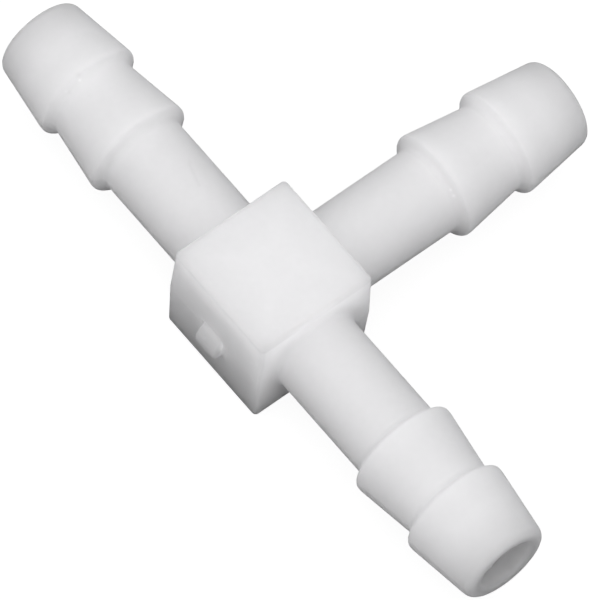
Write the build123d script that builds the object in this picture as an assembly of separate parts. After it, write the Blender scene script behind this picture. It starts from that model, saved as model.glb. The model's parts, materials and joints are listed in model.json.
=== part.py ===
from build123d import *
import math
import os

# A moulded plastic tee that joins three flexible tubes. Everything is in millimetres.
# The origin is the centre of the square body, where the two bores cross.
# The straight run lies along X, the branch leg points along +Y and Z is up.
# The mould parts at mid height, in the plane Z = 0.

# Square body
body_width = 8.5            # across opposite side faces, measured in the parting plane
body_height = 8.2
draft_angle = 1.5           # lean of the side faces, away from the parting plane both ways
edge_round = 0.3            # all its outer edges

# Legs, all three alike, measured outwards from the origin
leg_reach = 22.1            # to the open end
shank_diameter = 5.6        # plain round stretch between the body and the barbs
neck_round = 0.3            # fillet where a shank leaves the body

# Barbs, two on each leg, each a cone that widens from the open end to a crest
barb_pitch = 4.8            # from one catching edge to the next
nose_length = 4.9           # from the outer catching edge to the open end
crest_diameter = 6.95
crest_land = 0.3            # short parallel band on each crest
catch_lean = 0.35           # how far the catching face slopes along the leg
waist_diameter = 5.75       # narrowest place between the two barbs
nose_diameter = 5.7         # where the outer cone would meet the end plane

# Bores, left by the core pins
bore_diameter = 3.6
mouth_bevel = 0.2           # inner edge of the open end
lip_flat = 0.35             # flat ring left between that bevel and the rounded nose

# Stub of the gate, where the moulding was snapped off its runner
gate_width = 1.7
gate_depth = 1.05           # below the parting plane
gate_stand_out = 0.64       # from the body's face to the torn end
gate_torn_height = 1.05     # height of the torn end; above this a face leans back to the body
gate_lean = 0.03            # how far the torn end leans back over that height
gate_crown = 0.36           # how far the leaning face runs up past the parting plane
gate_edge_round = 0.18

half_width = body_width / 2
half_height = body_height / 2
shank_radius = shank_diameter / 2
crest_radius = crest_diameter / 2
waist_radius = waist_diameter / 2
nose_radius = nose_diameter / 2
bore_radius = bore_diameter / 2
outer_catch = leg_reach - nose_length
inner_catch = outer_catch - barb_pitch


def half_body():
    """The upper half of the body: a square block that narrows upwards from the parting plane."""
    block = extrude(Rectangle(body_width, body_width), amount=half_height, taper=draft_angle)
    outer_edges = block.edges().filter_by(lambda edge: edge.center().Z > 0)
    return fillet(outer_edges, edge_round)


def half_leg():
    """The upper half of a leg along +X, turned half a revolution from its outline."""
    corners = [
        (0, 0),
        (0, shank_radius),
        (inner_catch - catch_lean, shank_radius),
        (inner_catch, crest_radius),
        (inner_catch + crest_land, crest_radius),
        (outer_catch - catch_lean, waist_radius),
        (outer_catch, crest_radius),
        (outer_catch + crest_land, crest_radius),
        (leg_reach, nose_radius),
        (leg_reach, 0),
    ]
    nose = corners[8]
    outline = make_face(Polyline(*corners, close=True))
    tip = outline.vertices().sort_by_distance(Vector(*nose))[0]
    outline = fillet(tip, nose_round())
    return revolve(outline, Axis.X, revolution_arc=180)


def half_blank():
    """All that one mould half forms: half the body, half of each leg and the neck fillets."""
    blank = half_body()
    for turn in (0, 90, 180):
        limb = Rot(0, 0, turn) * half_leg()
        joined = blank + limb
        neck = new_edges(blank, limb, combined=joined)
        blank = fillet(neck, neck_round)
    return blank


def nose_round():
    """The radius that rounds the lip over the wall between the cone and the bore."""
    wall = nose_radius - bore_radius - mouth_bevel - lip_flat
    cone_length = nose_length - crest_land
    cone_angle = math.atan2(crest_radius - nose_radius, cone_length)
    turn = math.pi / 2 - cone_angle
    return wall / math.tan(turn / 2)


def gate_stub():
    """The wedge of runner left on the face opposite the branch."""
    face = -half_width
    root = -(half_width + bore_radius) / 2
    torn_end = face - gate_stand_out
    side = Polyline(
        (root, -gate_depth),
        (torn_end, -gate_depth),
        (torn_end + gate_lean, gate_torn_height - gate_depth),
        (face, gate_crown),
        (root, gate_crown),
        close=True,
    )
    stub = extrude(Plane.YZ * make_face(side), amount=gate_width / 2, both=True)
    outer_edges = [edge for edge in stub.edges() if edge.center().Y < face]
    return fillet(outer_edges, gate_edge_round)


def core_pin():
    """The space of one bore along +X, from the middle out through its bevelled mouth."""
    past_the_end = leg_reach + mouth_bevel
    outline = Polyline(
        (0, 0),
        (0, bore_radius),
        (leg_reach - mouth_bevel, bore_radius),
        (past_the_end, bore_radius + 2 * mouth_bevel),
        (past_the_end, 0),
        close=True,
    )
    return revolve(make_face(outline), Axis.X)


def bores():
    """The straight bore through the run, and the branch bore that opens into its middle."""
    pin = core_pin()
    return pin + Rot(0, 0, 90) * pin + Rot(0, 0, 180) * pin


def tee():
    """Both mould halves' share, with the gate stub, bored through all three legs."""
    upper = half_blank()
    blank = upper + mirror(upper, about=Plane.XY) + gate_stub()
    return blank - bores()


os.makedirs("parts", exist_ok=True)
export_step(tee(), "parts/tee_body.step")
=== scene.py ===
import json
import math

import bmesh
import bpy
from mathutils import Matrix, Vector, noise


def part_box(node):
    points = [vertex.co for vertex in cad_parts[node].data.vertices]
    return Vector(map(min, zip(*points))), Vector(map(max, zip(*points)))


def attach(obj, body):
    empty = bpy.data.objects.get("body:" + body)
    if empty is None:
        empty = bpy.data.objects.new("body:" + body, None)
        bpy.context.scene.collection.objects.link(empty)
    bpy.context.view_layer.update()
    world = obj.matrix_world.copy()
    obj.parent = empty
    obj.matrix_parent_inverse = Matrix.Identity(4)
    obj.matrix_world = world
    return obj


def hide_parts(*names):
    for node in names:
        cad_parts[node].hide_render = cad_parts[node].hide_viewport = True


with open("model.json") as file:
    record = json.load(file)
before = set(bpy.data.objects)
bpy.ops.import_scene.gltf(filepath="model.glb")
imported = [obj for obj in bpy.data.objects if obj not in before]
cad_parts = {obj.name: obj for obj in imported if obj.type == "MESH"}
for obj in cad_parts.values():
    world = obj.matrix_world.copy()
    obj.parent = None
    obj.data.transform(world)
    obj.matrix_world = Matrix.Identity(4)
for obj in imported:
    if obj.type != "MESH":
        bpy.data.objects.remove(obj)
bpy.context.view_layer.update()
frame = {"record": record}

bl_info = {
    "name": "Moulded hose tee",
    "version": (1, 0, 0),
    "blender": (4, 5, 0),
    "location": "View3D > Sidebar > Hose tee",
    "description": "Builds a barbed plastic tee around its packed solid model, with its stage",
    "category": "Add Mesh",
}

MM = 0.001
NODE = "tee_body"
SLOT = "natural_plastic"
FRAME_COLOUR = next(
    m["base_color"] for m in frame["record"]["materials"] if m["slot"] == SLOT
)
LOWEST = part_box(NODE)[0]
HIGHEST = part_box(NODE)[1]


def length(name, description, default):
    """A setting in metres, from its default in millimetres."""
    return bpy.props.FloatProperty(
        name=name, description=description, default=default * MM, unit="LENGTH",
        precision=5, min=0.0,
    )


def factor(name, description, default):
    """A setting between nothing and one."""
    return bpy.props.FloatProperty(
        name=name, description=description, default=default, subtype="FACTOR", min=0.0, max=1.0,
    )


def number(name, description, default):
    """A setting that is a plain number."""
    return bpy.props.FloatProperty(name=name, description=description, default=default)


class TeeSizes(bpy.types.PropertyGroup):
    """The sizes of the moulding, after its solid model, with its wear and fine trim."""

    body_width: length("Body width", "Across opposite side faces, in the parting plane", 8.5)
    body_height: length("Body height", "From the underside to the top", 8.2)
    edge_round: length("Edge round", "Radius of the body's outer edges", 0.3)
    draft: bpy.props.FloatProperty(
        name="Draft", description="Lean of the side faces, away from the parting plane",
        default=math.radians(1.5), subtype="ANGLE",
    )
    reach: length("Leg reach", "From the middle to an open end", 22.1)
    shank_radius: length("Shank radius", "Of the plain stretch next to the body", 2.8)
    neck_round: length("Neck round", "Fillet where a shank leaves the body", 0.3)
    outer_catch: length("Outer catching edge", "From the middle", 17.2)
    inner_catch: length("Inner catching edge", "From the middle", 12.4)
    crest_radius: length("Crest radius", "Of the barbs at their widest", 3.475)
    crest_land: length("Crest land", "Parallel band on each crest", 0.3)
    crest_round: length("Crest round", "Wear on the catching edge", 0.26)
    foot_round: length("Foot round", "Fillet at the foot of a catching face", 0.5)
    catch_lean: length("Catch lean", "How far a catching face slopes along the leg", 0.35)
    waist_radius: length("Waist radius", "Between the two barbs", 2.875)
    nose_radius: length("Nose radius", "Where the outer cone meets the end plane", 2.85)
    nose_round: length("Nose round", "Of the outer edge at the open end", 0.6)
    bore_radius: length("Bore radius", "Of the three bores", 1.8)
    mouth_bevel: length("Mouth bevel", "Inner edge of the open end", 0.2)
    mouth_round: length("Mouth round", "Wear on the lip between that bevel and the end", 0.4)
    flash_height: length("Flash height", "Of the thin ridge where the mould parts", 0.022)
    flash_width: length("Flash width", "Half width of that ridge", 0.055)


class TeeGate(bpy.types.PropertyGroup):
    """The stub where the moulding was snapped off its runner."""

    width: length("Width", "Along the run", 1.84)
    stand_out: length("Stand out", "From the body's face to the torn end", 0.63)
    depth: length("Depth", "Of the lower edge below the parting plane", 1.1)
    crown: length("Crown", "Of the upper edge above the parting plane", 0.62)
    brow: length("Brow", "Height over which the upper edge rounds off", 1.3)
    toe: length("Toe", "Softness of the place where the brow meets the body", 0.6)
    corner: length("Corner", "Radius of the stub's corners, seen from outside", 0.2)
    rim_round: length("Rim round", "Radius of the rim round the torn end", 0.1)
    flare: number("Flare", "How much softer the rim is on the +X side", 2.0)
    tear: length("Tear", "Height of the torn end's roughness", 0.02)
    seed: number("Seed", "Where the tear's pattern starts", 3.7)


class TeeFinish(bpy.types.PropertyGroup):
    """The milky, slightly translucent plastic."""

    colour: bpy.props.FloatVectorProperty(
        name="Colour", description="Of the plastic itself", subtype="COLOR", size=3,
        min=0.0, max=1.0, default=FRAME_COLOUR[:3],
    )
    scatter: length("Scatter depth", "How far light wanders in the thin walls of the legs", 1.4)
    body_scatter: length("Body scatter depth", "How far light wanders in the solid body", 4.7)
    stub_scatter: length("Stub scatter depth", "How far light wanders in the gate stub", 1.0)
    thin_loss: factor("Thin wall loss", "Light that is lost through the legs' thin walls", 0.08)
    end_loss: factor("End loss", "Light that leaks out at the open ends", 0.2)
    end_spread: number("End spread", "How much further light wanders at the open ends", 0.8)
    # Painted shade: the bores' walls are darkened where little light reaches inside.
    bore_shade: factor("Bore shade", "Light that the bores' dull walls keep", 0.19)
    mottle: factor("Mottle", "How far the plastic's tone wanders from place to place", 0.04)
    # Painted shade: the top and the underside darken towards their edges.
    rim_shade: factor("Rim shade", "Light that leaks out at the rim of the body's ends", 0.11)
    # Painted shade: the body's walls grow darker towards the underside.
    foot_shade: factor("Foot shade", "Light that is lost towards the foot of the body's walls", 0.34)
    # Painted shade on the gate stub, strongest on its upper part.
    stub_shade: factor("Stub shade", "Light that is lost through the thin gate stub", 0.17)
    roughness: factor("Roughness", "Of the moulded skin", 0.58)


class StageSettings(bpy.types.PropertyGroup):
    """Floor, light and camera."""

    floor_radius: length("Floor radius", "Of the pale floor", 3000.0)
    floor_near: factor("Near bounce", "Light that the floor sends back next to the tee", 0.02)
    floor_far: factor("Far bounce", "Light that the floor sends back further out", 0.55)
    body_shade: factor("Body shade", "Share of that bounce that is left under the body", 0.2)
    shade_reach: length("Shade reach", "How far out the body's shade ends", 26.0)
    shade_shift: length("Shade shift", "Of that shade, away from the branch", 4.6)
    pale_start: length("Pale start", "Where the floor starts to send back more", 2.0)
    pale_full: length("Pale full", "Where the floor sends back the most", 22.0)
    sky: number("Dome", "Strength of the even light from all round", 0.117)
    zenith: number("Overhead", "Added strength of the dome where it is brightest", 1.012)
    gather: number("Gather", "How closely the overhead light gathers at the top", 0.55)
    lean_x: number("Lean X", "How far the brightest part of the dome leans along X", 0.11)
    lean_y: number("Lean Y", "How far the brightest part of the dome leans along Y", -0.2)
    distance: length("Camera distance", "From the middle of the view", 801.0)
    lens: number("Lens", "Focal length in millimetres", 818.3)


NODE_COLUMNS = 9
NODE_GAP_X = 220
NODE_GAP_Y = -190


class Nodes:
    """A node tree under construction: adds nodes and joins their sockets."""

    def __init__(self, tree):
        self.tree = tree
        self.count = 0

    def add(self, kind, inputs=None, **settings):
        """A new node with its settings, and what goes into its inputs."""
        node = self.tree.nodes.new(kind)
        row, column = divmod(self.count, NODE_COLUMNS)
        node.location = (NODE_GAP_X * column, NODE_GAP_Y * row)
        self.count += 1
        for name, value in settings.items():
            setattr(node, name, value)
        for key, value in (inputs or {}).items():
            self.feed(node.inputs[key], value)
        return node

    def feed(self, socket, value):
        """Links a socket to another one, or gives it a value."""
        if isinstance(value, bpy.types.NodeSocket):
            self.tree.links.new(value, socket)
        else:
            socket.default_value = value

    def math(self, operation, *values):
        """The result of an operation on numbers."""
        node = self.add("ShaderNodeMath", operation=operation)
        for socket, value in zip(node.inputs, values):
            self.feed(socket, value)
        return node.outputs[0]

    def measure(self, operation, *vectors):
        """The number that an operation gives for vectors."""
        node = self.add("ShaderNodeVectorMath", operation=operation)
        for socket, vector in zip(node.inputs, vectors):
            self.feed(socket, vector)
        return node.outputs["Value"]

    def scaled(self, vector, scale):
        """The vector times a number."""
        node = self.add("ShaderNodeVectorMath", {0: vector, "Scale": scale}, operation="SCALE")
        return node.outputs[0]

    def point(self, x, y, z=0.0):
        """A vector from its three parts."""
        node = self.add("ShaderNodeCombineXYZ", {"X": x, "Y": y, "Z": z})
        return node.outputs[0]

    def bell(self, away):
        """One at nothing, and next to nothing beyond two."""
        square = self.math("MULTIPLY", away, away)
        return self.math("EXPONENT", self.math("MULTIPLY", square, -1.0))

    def ramp(self, value, low, high, start=0.0, stop=1.0, shape="SMOOTHSTEP"):
        """A number that goes from start to stop while the value goes from low to high."""
        node = self.add(
            "ShaderNodeMapRange",
            {"Value": value, "From Min": low, "From Max": high, "To Min": start, "To Max": stop},
            interpolation_type=shape,
        )
        return node.outputs[0]

    def fade(self, value, edge, span, start=0.0, stop=1.0):
        """A smooth ramp over a span that is measured from an edge."""
        return self.ramp(value, edge + span[0], edge + span[1], start, stop)

    def pick(self, index, values, data_type):
        """A switch in Geometry Nodes that gives the value at the index."""
        node = self.add("GeometryNodeIndexSwitch", data_type=data_type)
        while len(node.index_switch_items) < len(values):
            node.index_switch_items.new()
        self.feed(node.inputs["Index"], index)
        for place, value in enumerate(values):
            self.feed(node.inputs[1 + place], value)
        return node.outputs[0]


LEG_INPUTS = (
    "body_width", "draft", "reach", "shank_radius", "neck_round", "outer_catch",
    "inner_catch", "crest_radius", "crest_land", "crest_round", "foot_round", "catch_lean",
    "waist_radius", "nose_radius", "nose_round", "bore_radius", "mouth_bevel", "mouth_round",
    "flash_height", "flash_width",
)
SEGMENTS = 128              # steps round a leg
CROWDING = 0.72             # how far they crowd together at the quarter turns
FILLET_POINTS = 6           # added at each rounded corner of the outline
LAND_SOFTNESS = 9.0         # radius where a land meets its cone, in crest rounds
FLASH_OFF_LIP = 0.2 * MM    # the parting ridge starts this far outside the lip
FLASH_OFF_NECK = 3.0        # and is in full past this many neck rounds
TOUCH = 1e-6                # points closer than this are one point


def turn_angle(step):
    """The angle of one step round a leg; the steps crowd together at every quarter turn."""
    even = 2 * math.pi * step / SEGMENTS
    return even - CROWDING / 4 * math.sin(4 * even)


def add_sockets(tree, sizes):
    """A named input for each size of a leg."""
    for name in LEG_INPUTS:
        label = name.replace("_", " ").capitalize()
        socket = tree.interface.new_socket(label, in_out="INPUT", socket_type="NodeSocketFloat")
        socket.default_value = getattr(sizes, name)


def leg_tree(sizes):
    """One leg along +X: its outline, with rounded corners, turned round the axis."""
    tree = bpy.data.node_groups.new("Barbed leg", "GeometryNodeTree")
    add_sockets(tree, sizes)
    for label in ("Branch on left", "Branch on right"):
        tree.interface.new_socket(label, in_out="INPUT", socket_type="NodeSocketFloat")
    tree.interface.new_socket("Geometry", in_out="OUTPUT", socket_type="NodeSocketGeometry")
    n = Nodes(tree)
    given = n.add("NodeGroupInput").outputs
    size = {name: given[place] for place, name in enumerate(LEG_INPUTS)}
    on_left = given["Branch on left"]
    on_right = given["Branch on right"]

    face = n.math("MULTIPLY", size["body_width"], 0.5)
    inner_foot = n.math("SUBTRACT", size["inner_catch"], size["catch_lean"])
    outer_foot = n.math("SUBTRACT", size["outer_catch"], size["catch_lean"])
    inner_land = n.math("ADD", size["inner_catch"], size["crest_land"])
    outer_land = n.math("ADD", size["outer_catch"], size["crest_land"])
    neck_reach = n.math("ADD", size["shank_radius"], size["neck_round"])
    lip = n.math("ADD", size["bore_radius"], size["mouth_bevel"])
    bevel_start = n.math("SUBTRACT", size["reach"], size["mouth_bevel"])
    soft = n.math("MULTIPLY", size["crest_round"], LAND_SOFTNESS)
    corners = (
        (face, neck_reach, 0.0),
        (face, size["shank_radius"], size["neck_round"]),
        (inner_foot, size["shank_radius"], size["foot_round"]),
        (size["inner_catch"], size["crest_radius"], size["crest_round"]),
        (inner_land, size["crest_radius"], soft),
        (outer_foot, size["waist_radius"], size["foot_round"]),
        (size["outer_catch"], size["crest_radius"], size["crest_round"]),
        (outer_land, size["crest_radius"], soft),
        (size["reach"], size["nose_radius"], size["nose_round"]),
        (size["reach"], lip, size["mouth_round"]),
        (bevel_start, size["bore_radius"], size["mouth_round"]),
        (0.0, size["bore_radius"], 0.0),
    )
    index = n.add("GeometryNodeInputIndex").outputs[0]
    places = n.pick(index, [n.point(x, r) for x, r, _ in corners], "VECTOR")
    rounds = n.pick(index, [r for _, _, r in corners], "FLOAT")
    dots = n.add("GeometryNodePoints", {"Count": len(corners), "Position": places})
    line = n.add("GeometryNodePointsToCurves", {"Points": dots.outputs[0]})
    filleted = n.add(
        "GeometryNodeFilletCurve",
        {"Curve": line.outputs[0], "Count": FILLET_POINTS, "Radius": rounds,
         "Limit Radius": True},
        mode="POLY",
    )
    outline = n.add("GeometryNodeCurveToMesh", {"Curve": filleted.outputs[0]}).outputs[0]
    count = n.add(
        "GeometryNodeAttributeDomainSize", {"Geometry": outline}, component="MESH",
    ).outputs["Point Count"]

    grid = n.add("GeometryNodeMeshGrid", {"Vertices X": SEGMENTS + 1, "Vertices Y": count})
    along = n.math("FLOORED_MODULO", index, count)
    step = n.math("FLOOR", n.math("DIVIDE", n.math("ADD", index, 0.5), count))
    sampled = n.add(
        "GeometryNodeSampleIndex",
        {"Geometry": outline, "Value": n.add("GeometryNodeInputPosition").outputs[0],
         "Index": along},
        data_type="FLOAT_VECTOR", domain="POINT",
    ).outputs[0]
    parts = n.add("ShaderNodeSeparateXYZ", {"Vector": sampled}).outputs
    axial = parts["X"]
    radial = parts["Y"]

    even = n.math("MULTIPLY", step, 2 * math.pi / SEGMENTS)
    swing = n.math("MULTIPLY", n.math("SINE", n.math("MULTIPLY", even, 4.0)), CROWDING / 4)
    angle = n.math("SUBTRACT", even, swing)
    across = n.math("COSINE", angle)
    height = n.math("SINE", angle)

    off_part = n.math("DIVIDE", n.math("MULTIPLY", radial, height), size["flash_width"])
    ridge = n.bell(off_part)
    outside = n.math("GREATER_THAN", radial, n.math("ADD", lip, FLASH_OFF_LIP))
    neck_end = n.math("ADD", face, size["neck_round"])
    full_ridge = n.math("ADD", face, n.math("MULTIPLY", size["neck_round"], FLASH_OFF_NECK))
    clear_of_neck = n.ramp(axial, neck_end, full_ridge, shape="LINEAR")
    flash = n.math("MULTIPLY", n.math("MULTIPLY", ridge, outside), clear_of_neck)
    radial = n.math("ADD", radial, n.math("MULTIPLY", flash, size["flash_height"]))

    side = n.math("MULTIPLY", radial, across)
    rise = n.math("MULTIPLY", radial, height)
    lean = n.math("MULTIPLY", n.math("ABSOLUTE", rise), n.math("TANGENT", size["draft"]))
    at_neck = n.math("COMPARE", axial, face, n.math("ADD", size["neck_round"], TOUCH))
    lean = n.math("MULTIPLY", lean, at_neck)
    at_middle = n.math("LESS_THAN", axial, TOUCH)
    left = n.math("MULTIPLY", side, on_left)
    right = n.math("MULTIPLY", n.math("MULTIPLY", side, on_right), -1.0)
    start = n.math("MAXIMUM", n.math("MAXIMUM", left, right), 0.0)
    axial = n.math("SUBTRACT", axial, lean)
    axial = n.math("ADD", axial, n.math("MULTIPLY", start, at_middle))
    turned = n.add(
        "GeometryNodeSetPosition",
        {"Geometry": grid.outputs[0], "Position": n.point(axial, side, rise)},
    )
    n.add("NodeGroupOutput", {"Geometry": turned.outputs[0]})
    return tree


def legs_tree(sizes, material):
    """The two legs of the run and the branch, made from the same leg."""
    leg = leg_tree(sizes)
    tree = bpy.data.node_groups.new("Three barbed legs", "GeometryNodeTree")
    tree.interface.new_socket("Geometry", in_out="INPUT", socket_type="NodeSocketGeometry")
    add_sockets(tree, sizes)
    tree.interface.new_socket("Material", in_out="INPUT", socket_type="NodeSocketMaterial")
    tree.interface.new_socket("Geometry", in_out="OUTPUT", socket_type="NodeSocketGeometry")
    n = Nodes(tree)
    given = n.add("NodeGroupInput").outputs
    join = n.add("GeometryNodeJoinGeometry")
    for quarter, on_left, on_right in ((0, 1.0, 0.0), (1, 1.0, 1.0), (2, 0.0, 1.0)):
        one = n.add("GeometryNodeGroup", node_tree=leg)
        for place in range(len(LEG_INPUTS)):
            n.feed(one.inputs[place], given[place + 1])
        n.feed(one.inputs["Branch on left"], on_left)
        n.feed(one.inputs["Branch on right"], on_right)
        placed = n.add(
            "GeometryNodeTransform",
            {"Geometry": one.outputs[0], "Rotation": (0.0, 0.0, quarter * math.pi / 2)},
        )
        tree.links.new(placed.outputs[0], join.inputs[0])
    real = n.add("GeometryNodeRealizeInstances", {"Geometry": join.outputs[0]})
    painted = n.add(
        "GeometryNodeSetMaterial",
        {"Geometry": real.outputs[0], "Material": given["Material"]},
    )
    n.add("NodeGroupOutput", {"Geometry": painted.outputs[0]})
    return tree


def leg_mesh(sizes, material):
    """The legs' skin as a plain mesh, from the Geometry Nodes tree."""
    tree = legs_tree(sizes, material)
    carrier = bpy.data.objects.new("legs_carrier", bpy.data.meshes.new("legs_carrier"))
    bpy.context.scene.collection.objects.link(carrier)
    modifier = carrier.modifiers.new("Legs", "NODES")
    modifier.node_group = tree
    inputs = [i for i in tree.interface.items_tree if i.in_out == "INPUT"]
    for item in inputs:
        key = item.name.replace(" ", "_").lower()
        if key in LEG_INPUTS:
            modifier[item.identifier] = getattr(sizes, key)
        elif key == "material":
            modifier[item.identifier] = material
    graph = bpy.context.evaluated_depsgraph_get()
    mesh = bpy.data.meshes.new_from_object(carrier.evaluated_get(graph))
    bpy.data.objects.remove(carrier)
    return mesh


ROUND_STEPS = (15.0, 30.0, 45.0)        # degrees, up to the middle of an edge round
RING_SHARES = (0.0, 0.12, 0.4, 1.0)     # of the way from a leg or the stub to the face's border
STUB_SHARES = (                         # of the way from the stub's middle to its outline
    1.0, 0.995, 0.985, 0.97, 0.95, 0.925, 0.9, 0.875, 0.85, 0.82, 0.78, 0.74, 0.69, 0.64,
    0.58, 0.52, 0.46, 0.4, 0.34, 0.28, 0.22, 0.16, 0.1, 0.05,
)
PIT_ACROSS = -0.28 * MM
PIT_RISE = -0.09 * MM
PIT_SIZE = 0.09 * MM
PIT_DEPTH = 0.06 * MM
TEAR_GRAINS = ((0.3, 0.55), (0.12, 0.3), (0.06, 0.15))      # size in millimetres, weight
TEAR_START = 0.8            # depth inside the outline where the tear roughens, in rim rounds
TEAR_RUN = 1.8              # how much deeper it is at its roughest, in plain rim rounds
TEAR_AT_RIM = 0.35          # share of the roughness that is left on the rim
HALVINGS = 40               # of the stretch in which the stub's outline is looked for


def body_lines():
    """Grid lines across one face: a place from -1 to 1, and the turn into the edge round."""
    eighth = SEGMENTS // 8
    flat = [math.tan(turn_angle(step)) for step in range(-eighth, eighth + 1)]
    before = [(-1.0, -math.radians(step)) for step in reversed(ROUND_STEPS)]
    after = [(1.0, math.radians(step)) for step in ROUND_STEPS]
    return before + [(place, 0.0) for place in flat] + after


class Body:
    """The square block, in six faces whose points meet along its edges."""

    def __init__(self, sizes, gate):
        self.sizes = sizes
        self.gate = gate
        self.half_width = sizes.body_width / 2
        self.half_height = sizes.body_height / 2
        self.flat_width = self.half_width - sizes.edge_round
        self.flat_height = self.half_height - sizes.edge_round
        self.mesh = bmesh.new()

    def narrow(self, place):
        """Moves a point of the upright block in, by the draft of the side faces."""
        share = 1 - abs(place.z) * math.tan(self.sizes.draft) / self.half_width
        return Vector((place.x * share, place.y * share, place.z))

    def place(self, turn, u, v):
        """A point of the face that the turn brings to +X, from its two grid lines."""
        corner = turn @ Vector((1.0, u[0], v[0]))
        inner = Vector((
            corner.x * self.flat_width, corner.y * self.flat_width, corner.z * self.flat_height,
        ))
        out = turn @ Vector((1.0, math.tan(u[1]), math.tan(v[1]))).normalized()
        return self.narrow(inner + out * self.sizes.edge_round)

    def add_grid(self, turn, skip_flat):
        """The face's grid with its share of the rounds; its flat middle is left out if asked."""
        lines = body_lines()
        last = len(lines) - 1
        points = [[self.mesh.verts.new(self.place(turn, u, v)) for v in lines] for u in lines]
        rim = len(ROUND_STEPS)
        for i in range(last):
            for j in range(last):
                flat = rim <= i < last - rim and rim <= j < last - rim
                if flat and skip_flat:
                    continue
                self.mesh.faces.new(
                    (points[i][j], points[i + 1][j], points[i + 1][j + 1], points[i][j + 1])
                )
        for row in points:
            for point in row:
                if not point.link_faces:
                    self.mesh.verts.remove(point)

    def border(self, turn):
        """The points round the flat middle of a side face, one for each step of a leg."""
        found = []
        for step in range(SEGMENTS):
            angle = turn_angle(step)
            across = math.cos(angle)
            rise = math.sin(angle)
            reach = max(abs(across), abs(rise))
            found.append(self.place(turn, (across / reach, 0.0), (rise / reach, 0.0)))
        return found

    def add_rings(self, rings):
        """Quads between rings that have one point for each step of a leg."""
        made = [[self.mesh.verts.new(point) for point in ring] for ring in rings]
        for inner, outer in zip(made, made[1:]):
            for step in range(SEGMENTS):
                after = (step + 1) % SEGMENTS
                self.mesh.faces.new((inner[step], outer[step], outer[after], inner[after]))
        return made

    def on_face(self, across, rise, proud=0.0):
        """A point on the +X face, or proud of it, before the face is turned into place."""
        lean = abs(rise) * math.tan(self.sizes.draft)
        return Vector((self.half_width - lean + proud, across, rise))

    def add_leg_face(self, turn):
        """The flat middle of a face that carries a leg, from the neck's foot outwards."""
        foot = self.sizes.shank_radius + self.sizes.neck_round
        angles = [turn_angle(step) for step in range(SEGMENTS)]
        start = [turn @ self.on_face(foot * math.cos(a), foot * math.sin(a)) for a in angles]
        border = self.border(turn)
        self.add_rings(
            [[a.lerp(b, share) for a, b in zip(start, border)] for share in RING_SHARES]
        )

    def stub_depth(self, across, rise):
        """How far inside the gate stub's outline a place on its face lies."""
        gate = self.gate
        middle = (gate.crown - gate.depth) / 2
        half = (gate.crown + gate.depth) / 2
        dx = abs(across) - gate.width / 2 + gate.corner
        dz = abs(rise - middle) - half + gate.corner
        outside = math.hypot(max(dx, 0.0), max(dz, 0.0)) + min(max(dx, dz), 0.0)
        return gate.corner - outside

    def stub_reach(self, angle):
        """How far the stub's outline lies from the middle of the face, at one angle."""
        near, far = 0.0, 2 * self.gate.width
        for _ in range(HALVINGS):
            middle = (near + far) / 2
            inside = self.stub_depth(middle * math.cos(angle), middle * math.sin(angle)) > 0
            near, far = (middle, far) if inside else (near, middle)
        return near

    def stub_height(self, across, rise):
        """How far the torn stub stands out of the face."""
        gate = self.gate
        down = gate.crown - rise
        if down <= 0:
            return 0.0
        left = 1 - min(down / gate.brow, 1.0)
        share = math.sqrt(1 - left * left) * (1 - math.exp(-((down / gate.toe) ** 2)))
        depth = self.stub_depth(across, rise)
        half = gate.width / 2
        edge = gate.rim_round * (1 + gate.flare * max(across, 0.0) / half)
        inner = (depth - edge * TEAR_START) / (gate.rim_round * TEAR_RUN)
        inner = min(max(inner, 0.0), 1.0)
        inner = inner * inner * (3 - 2 * inner) * share
        rough = 0.0
        for size, weight in TEAR_GRAINS:
            spot = Vector((across, rise, gate.seed * MM)) / (size * MM)
            rough += noise.noise(spot) * weight
        away = math.hypot(across - PIT_ACROSS, rise - PIT_RISE) / PIT_SIZE
        pit = PIT_DEPTH * math.exp(-away * away)
        rough *= gate.tear * (TEAR_AT_RIM + (1 - TEAR_AT_RIM) * inner)
        tall = gate.stand_out * share + share * rough - pit
        if depth < edge:
            back = (edge - max(depth, 0.0)) / edge
            tall -= min(edge * (1 - math.sqrt(1 - back * back)), tall)
        return max(tall, 0.0)

    def add_gate_face(self, turn):
        """The flat middle of the face opposite the branch, with the torn stub of the gate."""
        angles = [turn_angle(step) for step in range(SEGMENTS)]
        reaches = [self.stub_reach(a) for a in angles]
        outline = [(r * math.cos(a), r * math.sin(a)) for a, r in zip(angles, reaches)]
        foot = [turn @ self.on_face(across, rise) for across, rise in outline]
        border = self.border(turn)
        face = [[a.lerp(b, share) for a, b in zip(foot, border)] for share in reversed(RING_SHARES)]
        stub = []
        for share in STUB_SHARES:
            ring = []
            for across, rise in outline:
                spot = (across * share, rise * share)
                ring.append(turn @ self.on_face(*spot, self.stub_height(*spot)))
            stub.append(ring)
        made = self.add_rings(face + stub)
        middle = self.mesh.verts.new(turn @ self.on_face(0.0, 0.0, self.stub_height(0.0, 0.0)))
        last = made[-1]
        for step in range(SEGMENTS):
            self.mesh.faces.new((last[step], middle, last[(step + 1) % SEGMENTS]))


BURR_PLACE = Vector((22.05, -1.33, 1.33)) * MM
BURR_SIZE = 0.19 * MM
BURR_HEIGHT = 0.34 * MM
BURR_EDGE = 3               # nothing moves beyond this many burr sizes


def raise_burr(mesh):
    """Pushes a small burr into the bore from the rim of the mouth at +X."""
    inwards = -Vector((0.0, BURR_PLACE.y, BURR_PLACE.z)).normalized()
    for point in mesh.verts:
        away = (point.co - BURR_PLACE).length / BURR_SIZE
        if away < BURR_EDGE:
            point.co += inwards * BURR_HEIGHT * math.exp(-away * away)


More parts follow.
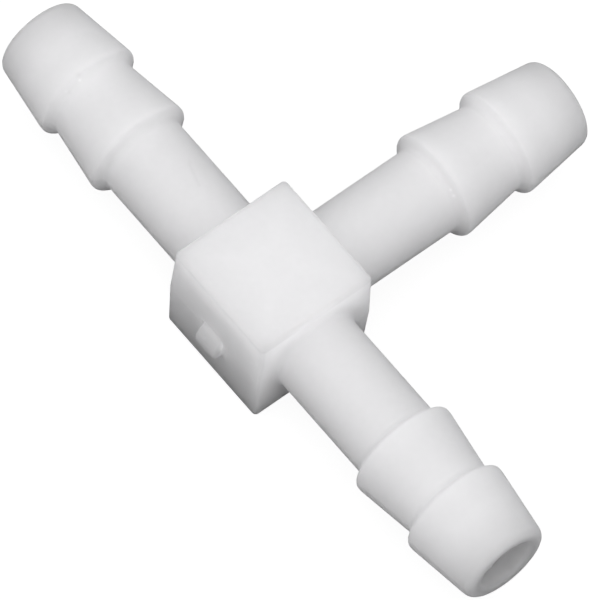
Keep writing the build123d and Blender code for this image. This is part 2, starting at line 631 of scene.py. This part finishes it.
def tee_mesh(sizes, gate, material):
    """The whole moulding as one closed mesh."""
    body = Body(sizes, gate)
    quarter = math.pi / 2
    for step in range(3):
        turn = Matrix.Rotation(step * quarter, 3, "Z")
        body.add_grid(turn, skip_flat=True)
        body.add_leg_face(turn)
    opposite = Matrix.Rotation(-quarter, 3, "Z")
    body.add_grid(opposite, skip_flat=True)
    body.add_gate_face(opposite)
    for sign in (-1, 1):
        body.add_grid(Matrix.Rotation(sign * quarter, 3, "Y"), skip_flat=False)
    body.mesh.from_mesh(leg_mesh(sizes, material))
    bmesh.ops.remove_doubles(body.mesh, verts=body.mesh.verts, dist=TOUCH)
    bmesh.ops.recalc_face_normals(body.mesh, faces=body.mesh.faces)
    raise_burr(body.mesh)
    open_edges = [edge for edge in body.mesh.edges if not edge.is_manifold]
    if open_edges:
        raise RuntimeError(f"the moulding's mesh has {len(open_edges)} open edges")
    mesh = bpy.data.meshes.new("tee_moulding")
    body.mesh.to_mesh(mesh)
    body.mesh.free()
    mesh.materials.clear()
    mesh.materials.append(material)
    mesh.shade_smooth()
    return mesh


GLINTS_AND_SPECKS = (                  # painted glints where lighter, dark specks where darker: place and size in millimetres, and how much lighter it is
    ((-16.97, -1.0, 2.92), 0.09, 0.13),
    ((-17.03, -1.96, 2.51), 0.11, 0.05),
    ((-17.2, -0.94, 3.2), 0.14, -0.06),
    ((-16.9, -1.8, 2.4), 0.12, -0.05),
    ((1.7, 12.13, 2.42), 0.08, 0.14),
    ((2.02, 12.13, 2.16), 0.1, 0.12),
    ((9.3, 2.76, -0.49), 0.12, -0.07),
    # a painted highlight on the burr at the mouth
    ((22.04, -1.12, 1.12), 0.2, 0.35),
)
SCRATCH = ((-11.2, 2.55, 1.1), (-8.7, 0.72, 2.7), (-7.3, 0.3, 2.78))    # millimetres
SCRATCH_WIDTH = 0.12 * MM
SCRATCH_DEPTH = 0.035       # how much darker it is


def off_line(n, place, start, end):
    """The distance of a place from the straight line between two points."""
    start = Vector(start) * MM
    way = Vector(end) * MM - start
    from_start = n.add(
        "ShaderNodeVectorMath", {0: place, 1: start}, operation="SUBTRACT",
    ).outputs[0]
    share = n.measure("DOT_PRODUCT", from_start, way / way.length_squared)
    share = n.math("MINIMUM", n.math("MAXIMUM", share, 0.0), 1.0)
    return n.measure("DISTANCE", from_start, n.scaled(tuple(way), share))


def glints_and_marks(n, place):
    """The factor by which the painted glints, the dark specks and the scratch lighten or darken the
    plastic.
    """
    total = 1.0
    for spot, size, gain in GLINTS_AND_SPECKS:
        away = n.math("DIVIDE", n.measure("DISTANCE", place, Vector(spot) * MM), size * MM)
        total = n.math("ADD", total, n.math("MULTIPLY", n.bell(away), gain))
    stretches = zip(SCRATCH, SCRATCH[1:])
    gaps = [off_line(n, place, start, end) for start, end in stretches]
    away = n.math("DIVIDE", n.math("MINIMUM", *gaps), SCRATCH_WIDTH)
    return n.math("SUBTRACT", total, n.math("MULTIPLY", n.bell(away), SCRATCH_DEPTH))


LEG_FOOT = (0.0, 1.2 * MM)              # outwards from the foot of a leg's neck
LEG_START = (-0.4 * MM, 0.2 * MM)       # along a leg, from the face that it stands on
BARB_START = (-0.4 * MM, 0.2 * MM)      # along a leg, from the inner catching edge
END_START = (-3.0 * MM, 0.0)            # along a leg, up to its open end
BORE_END = (0.1 * MM, 0.6 * MM)         # outwards from the bevelled lip of a bore
STUB_START = (0.01 * MM, 0.3 * MM)      # outwards from the face behind the stub
RIM_EDGE = (-0.45 * MM, -0.15 * MM)     # up to the flat top, and down to the underside
SIDE_WALL = (-1.2 * MM, 0.0)            # along X, up to the face at +X
RIM_WIDTH = (0.15, 1.05)                # in half widths of the body, from its middle
RIM_AT_CORNER = 0.15                    # how much wider the rim's painted shade gets towards a corner
STUB_FOOT = (-1.0 * MM, -0.2 * MM)      # heights between which the stub's painted shade grows
STUB_FOOT_SHARE = 0.25                  # of the stub's painted shade, at its foot
BARB_SHARE = 0.75                       # of the thin walls' loss, on the barbs
SIDE_SHARE = 0.45                       # of the walls' painted shade, on the face at +X
WALL_TOP = 0.3 * MM                     # depth below the top where the walls' painted shade starts
WALL_SLOPE = 0.6 * MM                   # how much deeper that is towards +X
WALL_SLOPE_END = 0.5 * MM               # where along X that slope ends


def zones(n, place, sizes):
    """How far each place belongs to a part of the tee whose colour is darkened: thin walls and open
    ends lose light, and the bores, the stub, the body's rims and the foot of its walls get painted
    shade.
    """
    x, y, z = n.add("ShaderNodeSeparateXYZ", {"Vector": place}).outputs
    face = sizes.body_width / 2
    half_height = sizes.body_height / 2
    foot = sizes.shank_radius + sizes.neck_round
    lip = sizes.bore_radius + sizes.mouth_bevel
    far = n.math("MAXIMUM", n.math("ABSOLUTE", x), n.math("ABSOLUTE", y))
    near = n.math("MINIMUM", n.math("ABSOLUTE", x), n.math("ABSOLUTE", y))
    off_run = n.measure("LENGTH", n.point(0.0, y, z))
    off_branch = n.measure("LENGTH", n.point(x, 0.0, z))
    off_branch = n.math("ADD", off_branch, n.math("LESS_THAN", y, 0.0))
    off_axis = n.math("MINIMUM", off_run, off_branch)

    at_foot = n.fade(off_axis, foot, LEG_FOOT, 1.0, 0.0)
    leg = n.math("MULTIPLY", at_foot, n.fade(far, face, LEG_START))
    outside_leg = n.math("SUBTRACT", 1.0, leg)
    thin = n.fade(far, sizes.inner_catch, BARB_START, 1.0, BARB_SHARE)
    proud = n.fade(n.math("MULTIPLY", y, -1.0), face, STUB_START)
    stub = n.math("MULTIPLY", proud, outside_leg)
    outward = n.math("ADD", far, n.math("MULTIPLY", near, RIM_AT_CORNER))
    to_side = n.ramp(outward, face * RIM_WIDTH[0], face * RIM_WIDTH[1])
    to_end = n.fade(n.math("ABSOLUTE", z), half_height, RIM_EDGE)
    # Painted shade on the body's walls: darker towards the underside, weaker on the face at +X.
    slope = n.ramp(x, -face, WALL_SLOPE_END, 0.0, WALL_SLOPE)
    wall_top = n.math("SUBTRACT", half_height - WALL_TOP, slope)
    wall_shade = n.ramp(z, wall_top, -half_height, shape="LINEAR")
    wall_shade = n.math("MULTIPLY", wall_shade, n.fade(x, face, SIDE_WALL, 1.0, SIDE_SHARE))
    return {
        "leg": leg,
        "stub": stub,
        "thin": n.math("MULTIPLY", leg, thin),
        "end": n.fade(far, sizes.reach, END_START),
        # painted shade inside the bores, fading out past the lip
        "bore": n.fade(off_axis, lip, BORE_END, 1.0, 0.0),
        # painted shade on the stub, strongest on its upper part
        "high_stub": n.math("MULTIPLY", stub, n.ramp(z, *STUB_FOOT, STUB_FOOT_SHARE, 1.0)),
        # painted shade on the top and underside, towards their edges
        "rim": n.math("MULTIPLY", n.math("MULTIPLY", to_side, to_end), outside_leg),
        "low": n.math("MULTIPLY", wall_shade, outside_leg),
    }


GRAIN_SCALE = 2.2               # per millimetre
GRAIN_DETAIL = 3.0
GRAIN_RANGE = (0.3, 0.7)        # of the grain, over which the skin's roughness wanders
ROUGHNESS_SPREAD = 0.06         # either way
GRAIN_STRENGTH = 0.25
GRAIN_HEIGHT = 0.01 * MM
REFRACTION = 1.49


def plastic(finish, sizes):
    """Milky plastic: light wanders under a satin skin, further in the body than in the legs."""
    material = bpy.data.materials.new("Natural plastic")
    material.use_nodes = True
    n = Nodes(material.node_tree)
    n.tree.nodes.clear()
    place = n.add("ShaderNodeTexCoord").outputs["Object"]
    in_mm = n.add("ShaderNodeMapping", {"Vector": place, "Scale": (1 / MM,) * 3}).outputs[0]
    grain = n.add(
        "ShaderNodeTexNoise", {"Vector": in_mm, "Scale": GRAIN_SCALE, "Detail": GRAIN_DETAIL},
    ).outputs[0]
    zone = zones(n, place, sizes)

    kept = glints_and_marks(n, place)
    cloud = n.math("MULTIPLY", n.math("SUBTRACT", grain, 0.5), finish.mottle)
    kept = n.math("MULTIPLY", kept, n.math("ADD", cloud, 1.0))
    # Darkens the colour zone by zone; the bore, stub, rim and foot losses are painted shade.
    for name, loss in (
        ("thin", finish.thin_loss), ("end", finish.end_loss), ("bore", finish.bore_shade),
        ("high_stub", finish.stub_shade), ("rim", finish.rim_shade), ("low", finish.foot_shade),
    ):
        share = n.math("SUBTRACT", 1.0, n.math("MULTIPLY", zone[name], loss))
        kept = n.math("MULTIPLY", kept, share)
    colour = n.scaled(tuple(finish.colour), kept)
    reach = n.ramp(zone["leg"], 0.0, 1.0, finish.body_scatter, finish.scatter)
    further = n.math("ADD", n.math("MULTIPLY", zone["end"], finish.end_spread), 1.0)
    reach = n.math("MULTIPLY", reach, further)
    shallow = n.math("MULTIPLY", zone["stub"], 1.0 - finish.stub_scatter / finish.body_scatter)
    reach = n.math("MULTIPLY", reach, n.math("SUBTRACT", 1.0, shallow))

    shader = n.add("ShaderNodeBsdfPrincipled", subsurface_method="BURLEY")
    n.feed(shader.inputs["Base Color"], colour)
    shader.inputs["Subsurface Weight"].default_value = 1.0
    shader.inputs["Subsurface Radius"].default_value = (1.0, 1.0, 1.0)
    n.feed(shader.inputs["Subsurface Scale"], reach)
    shader.inputs["IOR"].default_value = REFRACTION
    smooth = finish.roughness - ROUGHNESS_SPREAD
    coarse = finish.roughness + ROUGHNESS_SPREAD
    rough = n.ramp(grain, *GRAIN_RANGE, smooth, coarse, shape="LINEAR")
    n.feed(shader.inputs["Roughness"], rough)
    bump = n.add(
        "ShaderNodeBump",
        {"Strength": GRAIN_STRENGTH, "Distance": GRAIN_HEIGHT, "Height": grain},
    ).outputs[0]
    n.feed(shader.inputs["Normal"], bump)
    n.add("ShaderNodeOutputMaterial", {"Surface": shader.outputs[0]})
    return material


WHITE = (1.0, 1.0, 1.0, 1.0)
FLOOR_GLOW = 0.9                # of the floor's own light, to the camera
FLOOR_TONE = (0.2, 0.2, 0.2, 1.0)       # of what the floor adds to that where light falls
SHADE_CORE = 4.0 * MM           # radius of the body's full shade


def floor_material(stage):
    """White to the camera apart from a pale shadow, and a soft bounce to the object that is painted
    darker near the tee as a painted shadow.
    """
    material = bpy.data.materials.new("Floor")
    material.use_nodes = True
    n = Nodes(material.node_tree)
    n.tree.nodes.clear()
    seen = n.add("ShaderNodeLightPath").outputs["Is Camera Ray"]
    glow = n.add("ShaderNodeEmission", {"Color": WHITE, "Strength": FLOOR_GLOW})
    faint = n.add("ShaderNodeBsdfDiffuse", {"Color": FLOOR_TONE})
    shown = n.add("ShaderNodeAddShader", {0: glow.outputs[0], 1: faint.outputs[0]})
    place = n.add("ShaderNodeNewGeometry").outputs["Position"]
    spot = n.add("ShaderNodeSeparateXYZ", {"Vector": place}).outputs
    past_run = n.math("SUBTRACT", n.math("ABSOLUTE", spot["X"]), HIGHEST.x)
    past_run = n.math("MAXIMUM", past_run, 0.0)
    along_branch = n.math("MINIMUM", n.math("MAXIMUM", spot["Y"], 0.0), HIGHEST.y)
    past_branch = n.math("SUBTRACT", spot["Y"], along_branch)
    from_run = n.measure("LENGTH", n.point(past_run, spot["Y"]))
    from_branch = n.measure("LENGTH", n.point(spot["X"], past_branch))
    away = n.math("MINIMUM", from_run, from_branch)
    # The bounce is painted darker next to the legs and round the body: a painted shadow that only
    # the object sees.
    grey = n.ramp(
        away, stage.pale_start, stage.pale_full, stage.floor_near, stage.floor_far,
    )
    from_body = n.point(spot["X"], n.math("ADD", spot["Y"], stage.shade_shift))
    shade = n.ramp(
        n.measure("LENGTH", from_body), SHADE_CORE, stage.shade_reach, stage.body_shade, 1.0,
        shape="LINEAR",
    )
    bounce = n.add("ShaderNodeBsdfDiffuse", {"Color": n.math("MULTIPLY", grey, shade)})
    mix = n.add(
        "ShaderNodeMixShader", {0: seen, 1: bounce.outputs[0], 2: shown.outputs[0]},
    )
    n.add("ShaderNodeOutputMaterial", {"Surface": mix.outputs[0]})
    return material


OVERHEAD_TINT = (1.006, 0.994, 0.993)
HORIZON_TINT = (0.9, 1.02, 1.05)


def light_dome(stage):
    """A white world to the camera, and a soft dome, strongest overhead, to everything else."""
    world = bpy.data.worlds.new("Studio")
    bpy.context.scene.world = world
    world.use_nodes = True
    n = Nodes(world.node_tree)
    n.tree.nodes.clear()
    seen = n.add("ShaderNodeLightPath").outputs["Is Camera Ray"]
    way = n.add("ShaderNodeTexCoord").outputs["Generated"]
    brightest = Vector((stage.lean_x, stage.lean_y, 1.0)).normalized()
    high = n.math("MAXIMUM", n.measure("DOT_PRODUCT", way, brightest), 0.0)
    gathered = n.math("POWER", high, stage.gather)
    above = n.scaled(OVERHEAD_TINT, n.math("MULTIPLY", gathered, stage.zenith))
    round_about = tuple(tint * stage.sky for tint in HORIZON_TINT)
    light = n.add("ShaderNodeVectorMath", {0: above, 1: round_about}, operation="ADD").outputs[0]
    dome = n.add("ShaderNodeBackground", {"Color": light, "Strength": 1.0})
    white = n.add("ShaderNodeBackground", {"Color": WHITE, "Strength": 1.0})
    mix = n.add("ShaderNodeMixShader", {0: seen, 1: dome.outputs[0], 2: white.outputs[0]})
    n.add("ShaderNodeOutputWorld", {"Surface": mix.outputs[0]})


CAMERA_RIGHT = Vector((0.62475, 0.77835, 0.0621))
CAMERA_UP = Vector((-0.70695, 0.53009, 0.46822))
CAMERA_BACK = Vector((0.33152, -0.33642, 0.88143))
CAMERA_AIM = CAMERA_RIGHT * 1.483 * MM - CAMERA_UP * 0.124 * MM
SENSOR_WIDTH = 36.0
FLOOR_SIDES = 96


def add_camera(stage):
    """The camera, looking down on the tee with its run across the view."""
    data = bpy.data.cameras.new("camera")
    data.lens = stage.lens
    data.sensor_width = SENSOR_WIDTH
    data.clip_start = 0.05
    data.clip_end = 20.0
    camera = bpy.data.objects.new("camera", data)
    turn = Matrix((CAMERA_RIGHT, CAMERA_UP, CAMERA_BACK)).transposed()
    camera.matrix_world = Matrix.LocRotScale(
        CAMERA_AIM + CAMERA_BACK * stage.distance, turn.to_quaternion(), None
    )
    bpy.context.scene.collection.objects.link(camera)
    bpy.context.scene.camera = camera


class TEE_OT_moulding(bpy.types.Operator):
    """Build the moulded tee, with its barbs, mouths, parting line and gate stub"""

    bl_idname = "tee.moulding"
    bl_label = "Moulded tee"

    def execute(self, context):
        scene = context.scene
        material = plastic(scene.tee_finish, scene.tee_sizes)
        mesh = tee_mesh(scene.tee_sizes, scene.tee_gate, material)
        piece = bpy.data.objects.new("tee_moulding", mesh)
        scene.collection.objects.link(piece)
        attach(piece, "root")
        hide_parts(NODE)
        return {"FINISHED"}


class TEE_OT_stage(bpy.types.Operator):
    """Lay the floor and set up the light and the camera"""

    bl_idname = "tee.stage"
    bl_label = "Stage"

    def execute(self, context):
        stage = context.scene.tee_stage
        bpy.ops.mesh.primitive_circle_add(
            vertices=FLOOR_SIDES, radius=stage.floor_radius, fill_type="NGON",
            location=(0.0, 0.0, LOWEST.z),
        )
        floor = context.object
        floor.name = "floor"
        floor.data.materials.append(floor_material(stage))
        light_dome(stage)
        add_camera(stage)
        context.scene.view_settings.view_transform = "Standard"
        return {"FINISHED"}


class TEE_PT_panel(bpy.types.Panel):
    """The tee's operators in the sidebar"""

    bl_idname = "TEE_PT_panel"
    bl_label = "Hose tee"
    bl_space_type = "VIEW_3D"
    bl_region_type = "UI"
    bl_category = "Hose tee"

    def draw(self, context):
        for operator in OPERATORS:
            self.layout.operator(operator.bl_idname)


OPERATORS = (TEE_OT_moulding, TEE_OT_stage)
SETTINGS = (
    ("tee_sizes", TeeSizes),
    ("tee_gate", TeeGate),
    ("tee_finish", TeeFinish),
    ("tee_stage", StageSettings),
)


def register():
    for name, group in SETTINGS:
        bpy.utils.register_class(group)
        setattr(bpy.types.Scene, name, bpy.props.PointerProperty(type=group))
    for operator in OPERATORS:
        bpy.utils.register_class(operator)
    bpy.utils.register_class(TEE_PT_panel)


def unregister():
    bpy.utils.unregister_class(TEE_PT_panel)
    for operator in reversed(OPERATORS):
        bpy.utils.unregister_class(operator)
    for name, group in reversed(SETTINGS):
        delattr(bpy.types.Scene, name)
        bpy.utils.unregister_class(group)


def main():
    """Builds the tee and its stage."""
    register()
    bpy.ops.tee.moulding()
    bpy.ops.tee.stage()


if __name__ == "__main__":
    main()
